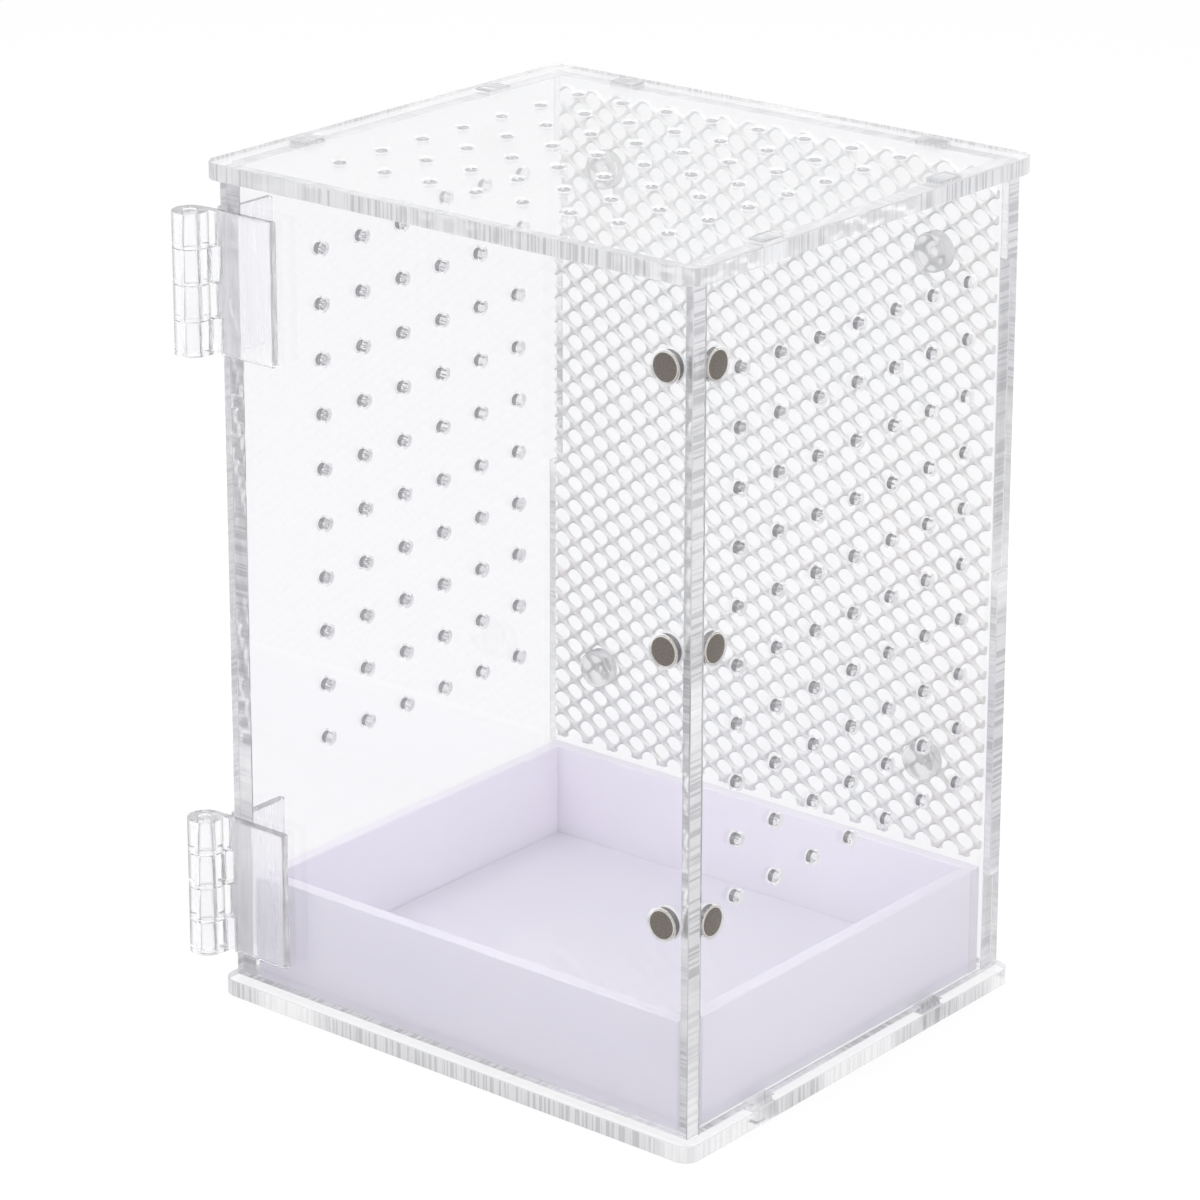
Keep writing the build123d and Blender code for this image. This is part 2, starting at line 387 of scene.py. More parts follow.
def turned(
    name: str, flat: Flat, centre: Point, profile: np.ndarray, sides: int, smooth_under: float
) -> bpy.types.Object:
    """Makes a solid of revolution: each profile point's radius times cosine and sine, at its level.

    Args:
        name: The object's name.
        flat: The axis that it is turned about.
        centre: Where the axis crosses the plane.
        profile: Rows of radius and level, from one end of the axis to the other.
        sides: Straight sides of each ring.
        smooth_under: Edges that turn less than this angle look smooth.

    Returns:
        The object, closed by a flat face at both ends.
    """
    angle = np.arange(sides) * (2 * math.pi / sides)
    radius, level = profile[:, 0:1], profile[:, 1]
    x = centre[0] + radius * np.cos(angle)
    y = centre[1] + radius * np.sin(angle)
    ring = np.stack([x.ravel(), y.ravel()], axis=1)
    points = flat.place(ring, 0.0)
    points[:, flat.value[2]] = np.repeat(level, sides)
    first = np.arange(sides)
    last = first[::-1] + (len(profile) - 1) * sides
    mesh = bpy.data.meshes.new(name)
    faces = ring_faces(len(profile), sides).tolist() + [first.tolist(), last.tolist()]
    mesh.from_pydata(points.tolist(), [], faces)
    tidy(mesh, smooth_under)
    return new_object(name, mesh)


def changed(thing: bpy.types.Object, kind: str, **settings: object) -> None:
    """Adds a modifier with these settings to an object and keeps its result as the object's mesh.

    Args:
        thing: The object.
        kind: The modifier's type.
        **settings: Its settings by name.
    """
    modifier = thing.modifiers.new(kind.lower(), kind)
    for key, value in settings.items():
        setattr(modifier, key, value)
    result = bpy.data.meshes.new_from_object(thing.evaluated_get(bpy.context.evaluated_depsgraph_get()))
    thing.modifiers.clear()
    old = thing.data
    result.name = old.name
    thing.data = result
    bpy.data.meshes.remove(old)


def joined(thing: bpy.types.Object, other: bpy.types.Object, operation: str) -> None:
    """Joins another solid to this one, or cuts it away, and removes the other.

    Args:
        thing: The solid that stays.
        other: The solid that is used up.
        operation: UNION or DIFFERENCE.
    """
    changed(thing, "BOOLEAN", operation=operation, solver="EXACT", object=other)
    mesh = other.data
    bpy.data.objects.remove(other)
    bpy.data.meshes.remove(mesh)


# Finishes


@dataclass
class Nodes:
    """A short way to write a node tree."""

    tree: bpy.types.NodeTree

    def add(self, kind: str, **settings: object) -> bpy.types.Node:
        """Adds a node.

        Args:
            kind: Its type without the leading ShaderNode.
            **settings: Its properties by name.

        Returns:
            The node.
        """
        node = self.tree.nodes.new("ShaderNode" + kind)
        for key, value in settings.items():
            setattr(node, key, value)
        return node

    def feed(self, socket: Socket, value: object) -> None:
        """Links a socket to another one, or sets its value."""
        if isinstance(value, bpy.types.NodeSocket):
            self.tree.links.new(value, socket)
        else:
            socket.default_value = value

    def math(self, operation: str, first: object, second: object = 0.0) -> Socket:
        """Adds a Math node.

        Args:
            operation: What it does.
            first: A number or a socket.
            second: The other number or socket.

        Returns:
            Its result.
        """
        node = self.add("Math", operation=operation)
        self.feed(node.inputs[0], first)
        self.feed(node.inputs[1], second)
        return node.outputs[0]

    def product(self, first: object, second: object) -> Socket:
        """Returns one value times the other."""
        return self.math("MULTIPLY", first, second)

    def larger(self, first: object, second: object) -> Socket:
        """Returns the larger one of two values."""
        return self.math("MAXIMUM", first, second)

    def rest(self, share: object) -> Socket:
        """Returns what is left of 1."""
        return self.math("SUBTRACT", 1.0, share)

    def mark(self, name: str) -> Socket:
        """Returns the number that the faces have under this name."""
        return self.add("Attribute", attribute_name=name).outputs["Fac"]

    def blend(self, share: object, first: object, second: object) -> Socket:
        """Adds a Mix node for colours.

        Args:
            share: How much of the second one shows.
            first: A colour or a socket.
            second: The other colour or socket.

        Returns:
            The mixed colour.
        """
        node = self.add("Mix", data_type="RGBA")
        self.feed(node.inputs["Factor"], share)
        self.feed(node.inputs["A"], first)
        self.feed(node.inputs["B"], second)
        return node.outputs["Result"]

    def mixed(self, share: object, first: Socket, second: Socket) -> Socket:
        """Adds a Mix Shader node.

        Args:
            share: How much of the second shader shows.
            first: A shader.
            second: The other shader.

        Returns:
            The mixed shader.
        """
        node = self.add("MixShader")
        for socket, value in zip(node.inputs, (share, first, second)):
            self.feed(socket, value)
        return node.outputs[0]

    def bumped(self, height: Socket, distance: float, strength: object) -> Socket:
        """Adds a Bump node.

        Args:
            height: The heights, from 0 to 1.
            distance: How far a height of 1 stands out.
            strength: How much of that shows.

        Returns:
            The bent normal.
        """
        node = self.add("Bump")
        node.inputs["Distance"].default_value = distance
        self.feed(node.inputs["Strength"], strength)
        self.feed(node.inputs["Height"], height)
        return node.outputs["Normal"]

    def noise(self, vector: Socket, scale: float, detail: float, rough: float = 0.5) -> Socket:
        """Adds a noise texture.

        Args:
            vector: Its coordinates.
            scale: Its scale.
            detail: Its octaves.
            rough: How strong the fine octaves are.

        Returns:
            Its value, from 0 to 1.
        """
        node = self.add("TexNoise")
        self.feed(node.inputs["Vector"], vector)
        node.inputs["Scale"].default_value = scale
        node.inputs["Detail"].default_value = detail
        node.inputs["Roughness"].default_value = rough
        return node.outputs["Fac"]

    def spread(self, value: Socket, span: Span, to_low: float, to_high: float) -> Socket:
        """Adds a Map Range node that stretches one span over another, and clamps.

        Args:
            value: A value.
            span: The span that it is read over.
            to_low: The result at the span's low end and under it.
            to_high: The result at its high end and over it.

        Returns:
            The result.
        """
        node = self.add("MapRange")
        low, high = span
        numbers = {"Value": value, "From Min": low, "From Max": high, "To Min": to_low, "To Max": to_high}
        for name, number in numbers.items():
            self.feed(node.inputs[name], number)
        return node.outputs["Result"]

    def place(self, scale: Place = (1.0, 1.0, 1.0)) -> Socket:
        """Adds Object coordinates through a Mapping node.

        Args:
            scale: How much the pattern is squeezed along each axis.

        Returns:
            The coordinates.
        """
        node = self.add("Mapping")
        self.feed(node.inputs["Vector"], self.add("TexCoord").outputs["Object"])
        node.inputs["Scale"].default_value = scale
        return node.outputs["Vector"]


def started(name: str) -> tuple[bpy.types.Material, Nodes, bpy.types.Node]:
    """Starts a material.

    Args:
        name: Its name.

    Returns:
        The material, its nodes and its output node.
    """
    material = bpy.data.materials.new(name)
    material.use_nodes = True
    material.node_tree.nodes.clear()
    nodes = Nodes(material.node_tree)
    return material, nodes, nodes.add("OutputMaterial")


def lets_lamps_through(nodes: Nodes, surface: Socket, colour: object) -> Socket:
    """Mixes a clear surface with a see-through one that only shadow rays meet.

    Args:
        nodes: The material's nodes.
        surface: The shader that everything else meets.
        colour: What the sheet leaves of a lamp's light, a colour or a socket.

    Returns:
        The mixed shader.
    """
    clear = nodes.add("BsdfTransparent")
    nodes.feed(clear.inputs["Color"], colour)
    return nodes.mixed(nodes.add("LightPath").outputs["Is Shadow Ray"], surface, clear.outputs[0])


def haze(nodes: Nodes, colour: object) -> Socket:
    """Mixes as much light sent back as let through, as a rough cut or a milky plastic does.

    Args:
        nodes: The material's nodes.
        colour: A colour or a socket.

    Returns:
        The mixed shader.
    """
    parts = [nodes.add(kind) for kind in ("BsdfDiffuse", "BsdfTranslucent")]
    for part in parts:
        nodes.feed(part.inputs["Color"], colour)
    return nodes.mixed(0.5, parts[0].outputs[0], parts[1].outputs[0])


def glass(nodes: Nodes, tint: object, roughness: object, normal: Socket) -> Socket:
    """Adds the shader of clear acrylic.

    Args:
        nodes: The material's nodes.
        tint: What it leaves of the light, a colour or a socket.
        roughness: A number or a socket.
        normal: The bent normal.

    Returns:
        The shader.
    """
    shader = nodes.add("BsdfPrincipled")
    for name, value in (("Base Color", tint), ("Roughness", roughness), ("Normal", normal)):
        nodes.feed(shader.inputs[name], value)
    shader.inputs["IOR"].default_value = ACRYLIC_IOR
    shader.inputs["Transmission Weight"].default_value = 1.0
    return shader.outputs[0]


@dataclass(frozen=True)
class ClearSheet:
    """Polished clear sheet whose laser-cut sides are hazy and striped across the sheet's thickness.

    The stripes and the larger patches are noise. A patch makes its stripes bright or leaves them grey.
    Hole walls carry painted shade where they are seen through the sheet and painted light where they are seen
    through the hole.
    """

    name: str
    flat: Flat
    face_tint: Colour = (0.962, 0.962, 0.972)
    cut_tint: Colour = (0.94, 0.94, 0.95)
    cut_dark: Colour = (0.49, 0.49, 0.51)
    cut_light: Colour = (0.96, 0.96, 0.97)
    # Painted shade on hole walls seen through the sheet, painted light on hole walls seen straight through
    # the hole.
    bore_painted_shade: Colour = (0.12, 0.12, 0.13)
    bore_painted_light: Colour = (0.95, 0.95, 0.96)
    bore_line: Colour = (0.3, 0.3, 0.31)
    rim: Colour = (0.66, 0.66, 0.67)
    # Painted highlight: a pale halo on the bevels round the round holes.
    bore_painted_highlight: Colour = (0.95, 0.95, 0.95)
    face_shadow: Colour = (0.97, 0.97, 0.98)
    cut_shadow: Colour = (0.8, 0.8, 0.82)
    cut_roughness: float = 0.08
    stripe_scale: float = 1700.0
    patch_scale: float = 34.0
    octaves: float = 2.0
    along_thickness: float = 0.02
    stripe_span: Span = (0.42, 0.54)
    stripe_least: float = 0.2
    stripe_grey: float = 0.62
    stripe_bright: float = 0.4
    bright_span: Span = (0.47, 0.54)
    line_span: Span = (0.38, 0.5)
    line_most: float = 0.3
    haze_span: Span = (0.44, 0.56)
    haze_most: float = 0.85
    haze_least: float = 0.4
    bore_clearness: float = 0.7
    # Share of the painted shade on hole walls seen through the sheet.
    bore_painted_shade_share: float = 0.8
    # Share of the painted highlight on the holes' bevels.
    bore_highlight_share: float = 0.7
    bump_height: float = 0.05 * MM
    bump_share: float = 0.4

    def colour(self, nodes: Nodes, stripes: Socket, patches: Socket, within: Socket) -> Socket:
        """Works out the colour of the haze.

        Args:
            nodes: The material's nodes.
            stripes: The noise of the stripes.
            patches: The noise of the patches.
            within: 1 where a side is seen through the sheet.

        Returns:
            The colour of cut sides, hole walls and bevels.
        """
        stripe = nodes.spread(stripes, self.stripe_span, self.stripe_least, 1.0)
        lifted = nodes.math("ADD", nodes.product(stripe, self.stripe_bright), 1 - self.stripe_bright)
        bright = nodes.product(lifted, nodes.spread(patches, self.bright_span, 0.0, 1.0))
        grey = nodes.larger(nodes.product(stripe, self.stripe_grey), bright)
        side = nodes.blend(grey, (*self.cut_dark, 1), (*self.cut_light, 1))
        # Hole walls: painted shade where seen through the sheet, painted light where seen through the hole.
        wall = nodes.blend(within, (*self.bore_painted_light, 1), (*self.bore_painted_shade, 1))
        lines = nodes.spread(stripes, self.line_span, self.line_most, 0.0)
        wall = nodes.blend(lines, wall, (*self.bore_line, 1))
        bore = nodes.mark(BORE)
        # The bevels round round holes get the pale painted highlight.
        bevel = nodes.blend(bore, (*self.rim, 1), (*self.bore_painted_highlight, 1))
        return nodes.blend(nodes.mark(RIM), nodes.blend(bore, side, wall), bevel)

    def hazy(self, nodes: Nodes, patches: Socket, within: Socket) -> Socket:
        """Works out the share of the haze.

        Args:
            nodes: The material's nodes.
            patches: The noise of the patches.
            within: 1 where a side is seen through the sheet.

        Returns:
            The share: 0 on the sheet's faces, and on cut sides the less the brighter the patch.
        """
        bore = nodes.mark(BORE)
        share = nodes.spread(patches, self.haze_span, self.haze_most, self.haze_least)
        share = nodes.product(nodes.mark(CUT), share)
        share = nodes.product(share, nodes.rest(nodes.product(bore, self.bore_clearness)))
        # Hole walls seen through the sheet show mostly their painted shade.
        share = nodes.larger(share, nodes.product(nodes.product(bore, within), self.bore_painted_shade_share))
        # The holes' bevels show their painted highlight.
        return nodes.larger(share, nodes.product(nodes.product(bore, nodes.mark(RIM)), self.bore_highlight_share))

    def material(self) -> bpy.types.Material:
        """Returns the material, which tells cut sides, hole walls and bevels by their attributes."""
        material, nodes, output = started(self.name)
        squeeze = [1.0, 1.0, 1.0]
        squeeze[self.flat.value[2]] = self.along_thickness
        vector = nodes.place(tuple(squeeze))
        stripes = nodes.noise(vector, self.stripe_scale, self.octaves)
        patches = nodes.noise(vector, self.patch_scale, self.octaves)
        # Backfacing marks hole walls seen through the sheet, which get the painted shade.
        within = nodes.add("NewGeometry").outputs["Backfacing"]
        cut = nodes.mark(CUT)
        matt = nodes.product(nodes.rest(nodes.mark(BORE)), self.cut_roughness)
        tint = nodes.blend(cut, (*self.face_tint, 1), (*self.cut_tint, 1))
        normal = nodes.bumped(stripes, self.bump_height, nodes.product(cut, self.bump_share))
        clear = glass(nodes, tint, nodes.product(cut, matt), normal)
        hazy = haze(nodes, self.colour(nodes, stripes, patches, within))
        surface = nodes.mixed(self.hazy(nodes, patches, within), clear, hazy)
        shadow = nodes.blend(cut, (*self.face_shadow, 1), (*self.cut_shadow, 1))
        nodes.feed(output.inputs["Surface"], lets_lamps_through(nodes, surface, shadow))
        return material


@dataclass(frozen=True)
class ClearMoulding:
    """Clear moulded plastic with faint flow lines, hazy where the attribute CUT marks its adhesive film, and
    with painted shade that darkens its tint towards black where the surface turns edge-on.
    """

    name: str
    tint: Colour = (0.97, 0.97, 0.98)
    shadow: Colour = (0.9, 0.9, 0.91)
    film: Colour = (0.97, 0.955, 0.96)
    roughness: float = 0.03
    haze_share: float = 0.06
    flow_scale: float = 260.0
    flow_stretch: Place = (1.0, 1.0, 0.25)
    flow_octaves: float = 2.0
    bump_height: float = 0.1 * MM
    bump_share: float = 0.25
    # Tint left where the surface is edge-on: painted shade that draws dark rims.
    outline: float = 0.08
    silhouette_shade_span: Span = (0.45, 0.85)
    film_share: float = 0.24
    film_unevenness: float = 1.4
    streak_scale: float = 780.0
    streak_stretch: Place = (1.0, 1.0, 0.06)
    streak_octaves: float = 3.0
    streak_span: Span = (0.35, 0.65)

    def material(self) -> bpy.types.Material:
        """Returns the material."""
        material, nodes, output = started(self.name)
        flow = nodes.noise(nodes.place(self.flow_stretch), self.flow_scale, self.flow_octaves)
        normal = nodes.bumped(flow, self.bump_height, self.bump_share)
        # Painted shade: the tint goes dark where the surface turns edge-on, for dark rims on curved parts.
        facing = nodes.add("LayerWeight").outputs["Facing"]
        silhouette_shade = nodes.spread(facing, self.silhouette_shade_span, 1.0, self.outline)
        tint = nodes.blend(silhouette_shade, (0, 0, 0, 1), (*self.tint, 1))
        clear = glass(nodes, tint, self.roughness, normal)
        film = nodes.mark(CUT)
        streaks = nodes.noise(nodes.place(self.streak_stretch), self.streak_scale, self.streak_octaves)
        most = self.film_share * self.film_unevenness
        share = nodes.product(film, nodes.spread(streaks, self.streak_span, self.film_share, most))
        hazy = haze(nodes, nodes.blend(film, (*self.tint, 1), (*self.film, 1)))
        surface = nodes.mixed(nodes.larger(share, self.haze_share), clear, hazy)
        nodes.feed(output.inputs["Surface"], lets_lamps_through(nodes, surface, (*self.shadow, 1)))
        return material


@dataclass(frozen=True)
class MilkySheet:
    """Milky translucent sheet with a glossy face."""

    name: str
    colour: Colour = (0.865, 0.835, 0.935)
    through: Colour = (0.97, 0.95, 0.99)
    through_share: float = 0.2
    # Painted shade: the share of the colour kept on the rim and the other sides marked CUT.
    rim: float = 0.86
    gloss: float = 1.0
    roughness: float = 0.004
    grain_scale: float = 900.0
    grain_octaves: float = 2.0
    cloud_scale: float = 30.0
    cloud_octaves: float = 3.0
    cloud_most: float = 0.12
    noise_span: Span = (0.3, 0.7)

    def material(self) -> bpy.types.Material:
        """Returns the material, with painted shade that makes it a little darker where the attribute CUT is
        1.
        """
        material, nodes, output = started(self.name)
        vector = nodes.place()
        cloud = nodes.noise(vector, self.cloud_scale, self.cloud_octaves)
        cloud = nodes.spread(cloud, self.noise_span, 0.0, self.cloud_most)
        shade = nodes.blend(cloud, (*self.colour, 1), (1, 1, 1, 1))
        # Painted shade on the rim and the other sides.
        shade = nodes.blend(nodes.mark(CUT), shade, nodes.blend(self.rim, (0, 0, 0, 1), shade))
        grain = nodes.noise(vector, self.grain_scale, self.grain_octaves)
        surface = nodes.add("BsdfPrincipled")
        nodes.feed(surface.inputs["Base Color"], shade)
        rough = nodes.spread(grain, self.noise_span, self.roughness, self.roughness * 2)
        nodes.feed(surface.inputs["Roughness"], rough)
        surface.inputs["IOR"].default_value = ACRYLIC_IOR
        surface.inputs["Specular IOR Level"].default_value = self.gloss
        glow = nodes.add("BsdfTranslucent")
        glow.inputs["Color"].default_value = (*self.through, 1)
        mixed = nodes.mixed(self.through_share, surface.outputs[0], glow.outputs[0])
        nodes.feed(output.inputs["Surface"], mixed)
        return material


@dataclass(frozen=True)
class Plating:
    """Nickel plating, with a painted dark reflection that makes the flat faces darker than the rim."""

    name: str
    # Painted reflection: the flat faces are painted near black, the rim keeps the plating's pale colour.
    face: Colour = (0.155, 0.138, 0.125)
    rim: Colour = (0.72, 0.69, 0.65)
    speckle_lift: float = 1.35
    speckle_scale: float = 2500.0
    speckle_octaves: float = 3.0
    speckle_fineness: float = 0.7
    speckle_span: Span = (0.3, 0.7)
    smoothest: float = 0.22
    roughest: float = 0.38
    bump_height: float = 0.02 * MM
    bump_share: float = 0.3

    def material(self) -> bpy.types.Material:
        """Returns the material, with the rim's colour where the attribute CUT is 1."""
        material, nodes, output = started(self.name)
        speckle = nodes.noise(nodes.place(), self.speckle_scale, self.speckle_octaves, self.speckle_fineness)
        lifted = tuple(channel * self.speckle_lift for channel in self.face)
        flecks = nodes.spread(speckle, self.speckle_span, 0.0, 1.0)
        face = nodes.blend(flecks, (*self.face, 1), (*lifted, 1))
        rough = nodes.spread(speckle, self.speckle_span, self.smoothest, self.roughest)
        metal = nodes.add("BsdfPrincipled")
        # Painted dark reflection on the flat faces, the rim's colour where CUT is 1.
        nodes.feed(metal.inputs["Base Color"], nodes.blend(nodes.mark(CUT), face, (*self.rim, 1)))
        nodes.feed(metal.inputs["Roughness"], rough)
        nodes.feed(metal.inputs["Normal"], nodes.bumped(speckle, self.bump_height, self.bump_share))
        metal.inputs["Metallic"].default_value = 1.0
        nodes.feed(output.inputs["Surface"], metal.outputs[0])
        return material


@dataclass(frozen=True)
class NetPlastic:
    """Soft pale plastic of the net, a little uneven in colour, with painted shade that makes the strands'
    crests darker.
    """

    name: str
    warm: Colour = (0.86, 0.838, 0.822)
    cool: Colour = (0.835, 0.845, 0.835)
    # Painted shade: the share of the colour kept on the strands' crests.
    crest: float = 0.9
    drift_scale: float = 35.0
    drift_octaves: float = 2.0
    drift_span: Span = (0.35, 0.65)
    grain_scale: float = 1800.0
    grain_octaves: float = 3.0
    grain_fineness: float = 0.6
    grain_span: Span = (0.3, 0.7)
    smoothest: float = 0.35
    roughest: float = 0.55
    bump_height: float = 0.04 * MM
    bump_share: float = 0.4

    def material(self) -> bpy.types.Material:
        """Returns the material, with the gap walls' colour where the attribute CUT is 1."""
        material, nodes, output = started(self.name)
        vector = nodes.place()
        drift = nodes.noise(vector, self.drift_scale, self.drift_octaves)
        drift = nodes.spread(drift, self.drift_span, 0.0, 1.0)
        grain = nodes.noise(vector, self.grain_scale, self.grain_octaves, self.grain_fineness)
        wall = nodes.blend(drift, (*self.warm, 1), (*self.cool, 1))
        # Painted shade darkens the crests.
        crest = nodes.blend(self.crest, (0, 0, 0, 1), wall)
        rough = nodes.spread(grain, self.grain_span, self.smoothest, self.roughest)
        surface = nodes.add("BsdfPrincipled")
        nodes.feed(surface.inputs["Base Color"], nodes.blend(nodes.mark(CUT), crest, wall))
        nodes.feed(surface.inputs["Roughness"], rough)
        nodes.feed(surface.inputs["Normal"], nodes.bumped(grain, self.bump_height, self.bump_share))
        nodes.feed(output.inputs["Surface"], surface.outputs[0])
        return material


def finished(
    thing: bpy.types.Object, material: bpy.types.Material, body: str, node: str
) -> None:
    """Dresses a piece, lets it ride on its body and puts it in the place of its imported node.

    Args:
        thing: The piece.
        material: Its finish.
        body: The body that it moves with.
        node: The node that it replaces.
    """
    thing.data.materials.clear()
    thing.data.materials.append(material)
    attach(thing, body)
    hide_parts(node)
    LOG.info("%s: %d faces on %s", thing.name, len(thing.data.polygons), body)


# Sub-assemblies


@dataclass
class Panels:
    """The clear panels of the box and its door."""

    glue_line: float = 0.05 * MM
    arris: float = 0.12 * MM
    hole_arris: float = 0.38 * MM
    sheet: float = 3.0 * MM
    plate_corner: float = 3.0 * MM
    plate_corner_steps: int = 10
    seat_clearance: float = 0.1 * MM
    tab_length: float = 5.0 * MM
    side_tab_pitch: float = 48.0 * MM
    back_tab_pitch: float = 66.0 * MM
    first_finger: float = 18.0 * MM
    finger_pitch: float = 55.8 * MM
    vent_radius: float = 1.03 * MM
    vent_sides: int = 20
    seat_sides: int = 48
    vent_pitch_across: float = 9.9 * MM
    vent_pitch_deep: float = 10.33 * MM
    vent_pitch_high: float = 9.9 * MM
    vent_drop: float = 16.4 * MM
    vents_across: int = 8
    vents_deep: int = 7
    vents_high: int = 10
    # Painted shade on the top plate's hole walls seen through the sheet, lighter than on the side walls.
    plate_bore_painted_shade: Colour = (0.5, 0.5, 0.51)
    finishes: dict[Flat, bpy.types.Material] = field(default_factory=dict)

    def __post_init__(self) -> None:
        """Makes one finish for each direction of a sheet."""
        for flat in Flat:
            painted_hole_shade = self.plate_bore_painted_shade if flat is Flat.Z else ClearSheet.bore_painted_shade
            finish = ClearSheet(f"clear_sheet_{flat.name.lower()}", flat, bore_painted_shade=painted_hole_shade)
            self.finishes[flat] = finish.material()

    def fingers(self, node: str) -> tuple[list[Span], list[Span]]:
        """Works out the stretches of the back corner's fingers.

        Args:
            node: A wall that has the fingers.

        Returns:
            The side wall's stretches and the back wall's, from the base up.
        """
        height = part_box(node)[1].z
        low, high = self.sheet + self.glue_line, height - self.sheet - self.glue_line
        inner = np.arange(self.sheet + self.first_finger, high, self.finger_pitch)
        levels = np.concatenate([[low], inner, [high]])
        pairs = [(a + self.glue_line, b - self.glue_line) for a, b in zip(levels, levels[1:])]
        return pairs[0::2], pairs[1::2]

    def tabs(self, pitch: float) -> list[Span]:
        """Returns the two stretches of a wall's tabs, a pitch apart about the middle."""
        half = self.tab_length / 2
        return [(-pitch / 2 - half, -pitch / 2 + half), (pitch / 2 - half, pitch / 2 + half)]

    def seats(self, node: str, flat: Flat) -> list[Loop]:
        """Finds the round seats of a panel's magnets.

        Args:
            node: How the magnets' nodes start.
            flat: The axis across the panel.

        Returns:
            Their loops.
        """
        loops = []
        for row in Row:
            low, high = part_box(f"{node}_{row.value}")
            middle = (low + high) / 2
            radius = (high.z - low.z) / 2 + self.seat_clearance
            centre = (middle[flat.value[0]], middle[flat.value[1]])
            loops.append(circle(centre, radius, self.seat_sides))
        return loops

    def vents(self, places: np.ndarray) -> list[Loop]:
        """Returns a round vent's loop for each place."""
        return [circle(tuple(place), self.vent_radius, self.vent_sides) for place in places]

    def sheet_of(self, node: str, flat: Flat, outline: Loop, holes: list[Loop], body: str) -> None:
        """Makes and dresses a panel between the two faces of its node.

        Args:
            node: The panel's node.
            flat: The axis across it.
            outline: Its outline.
            holes: Its holes.
            body: The body that it moves with.
        """
        low, high = (corner[flat.value[2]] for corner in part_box(node))
        thing = flat_solid(f"{node}_sheet", flat, outline, holes, low, high, self.arris, self.hole_arris)
        finished(thing, self.finishes[flat], body, node)

    def plate(self, node: str, vented: bool) -> None:
        """Makes the base or the top: a rounded rectangle with the tabs' slots.

        Args:
            node: The plate's node.
            vented: True if it has vents.
        """
        low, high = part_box(node)
        wall_low, wall_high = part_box("back_wall")
        side = (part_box("right_wall")[0].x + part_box("right_wall")[1].x) / 2
        rear = (wall_low.y + wall_high.y) / 2
        wide = self.sheet + 2 * self.seat_clearance
        long = self.tab_length + 2 * self.seat_clearance
        ends = (low.x, low.y), (high.x, high.y)
        outline = rounded_rectangle(*ends, self.plate_corner, self.plate_corner_steps)
        at_sides = grid((0, 0), (2 * side, self.side_tab_pitch), (2, 2))
        at_back = grid((0, rear), (self.back_tab_pitch, 0), (2, 1))
        loops = [slot(tuple(place), (wide, long)) for place in at_sides]
        loops += [slot(tuple(place), (long, wide)) for place in at_back]
        if vented:
            pitch = (self.vent_pitch_across, self.vent_pitch_deep)
            loops += self.vents(grid((0, 0), pitch, (self.vents_across, self.vents_deep)))
        self.sheet_of(node, Flat.Z, outline, loops, BOX_BODY)

    def side(self, node: str, columns: int, seats: list[Loop]) -> None:
        """Makes a side wall, with its tabs, its fingers at the back and its vents.

        Args:
            node: The wall's node.
            columns: How many columns of vents it has, counted from the back.
            seats: The magnets' seats in it.
        """
        low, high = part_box(node)
        body_back = high.y - self.sheet - self.glue_line
        bottom, top = self.sheet + self.glue_line, high.z - self.sheet - self.glue_line
        tabs = self.tabs(self.side_tab_pitch)
        outline = np.concatenate([
            [(low.y, bottom)],
            stepped(bottom, low.z, tabs, False),
            [(body_back, bottom)],
            stepped(body_back, high.y, self.fingers(node)[0], True),
            [(body_back, top)],
            stepped(top, high.z, [(b, a) for a, b in reversed(tabs)], False),
            [(low.y, top)],
        ])
        middle_y = (self.vents_deep - columns) * self.vent_pitch_deep / 2
        upper = high.z - self.sheet - self.vent_drop
        middle_z = upper - (self.vents_high - 1) * self.vent_pitch_high / 2
        pitch = (self.vent_pitch_deep, self.vent_pitch_high)
        loops = self.vents(grid((middle_y, middle_z), pitch, (columns, self.vents_high))) + seats
        self.sheet_of(node, Flat.X, outline, loops, BOX_BODY)

    def back(self) -> None:
        """Makes the back wall, with its tabs and the fingers of both corners."""
        low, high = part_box("back_wall")
        bottom, top = self.sheet + self.glue_line, high.z - self.sheet - self.glue_line
        body = high.x - self.sheet - self.glue_line
        tabs = self.tabs(self.back_tab_pitch)
        fingers = self.fingers("back_wall")[1]
        outline = np.concatenate([
            [(-body, bottom)],
            stepped(bottom, low.z, tabs, False),
            [(body, bottom)],
            stepped(body, high.x, fingers, True),
            [(body, top)],
            stepped(top, high.z, [(b, a) for a, b in reversed(tabs)], False),
            [(-body, top)],
            stepped(-body, low.x, [(b, a) for a, b in reversed(fingers)], True),
        ])
        self.sheet_of("back_wall", Flat.Y, outline, [], BOX_BODY)

    def door(self) -> None:
        """Makes the door's panel with its magnets' seats."""
        low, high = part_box("door_panel")
        outline = np.array([(low.x, low.z), (high.x, low.z), (high.x, high.z), (low.x, high.z)])
        loops = self.seats("door_magnet", Flat.Y)
        self.sheet_of("door_panel", Flat.Y, outline, loops, DOOR_BODY)

    def build(self) -> None:
        """Makes all panels."""
        self.plate("base_plate", False)
        self.plate("top_plate", True)
        self.side("left_wall", self.vents_deep - 1, [])
        self.side("right_wall", self.vents_deep, self.seats("wall_magnet", Flat.X))
        self.back()
        self.door()


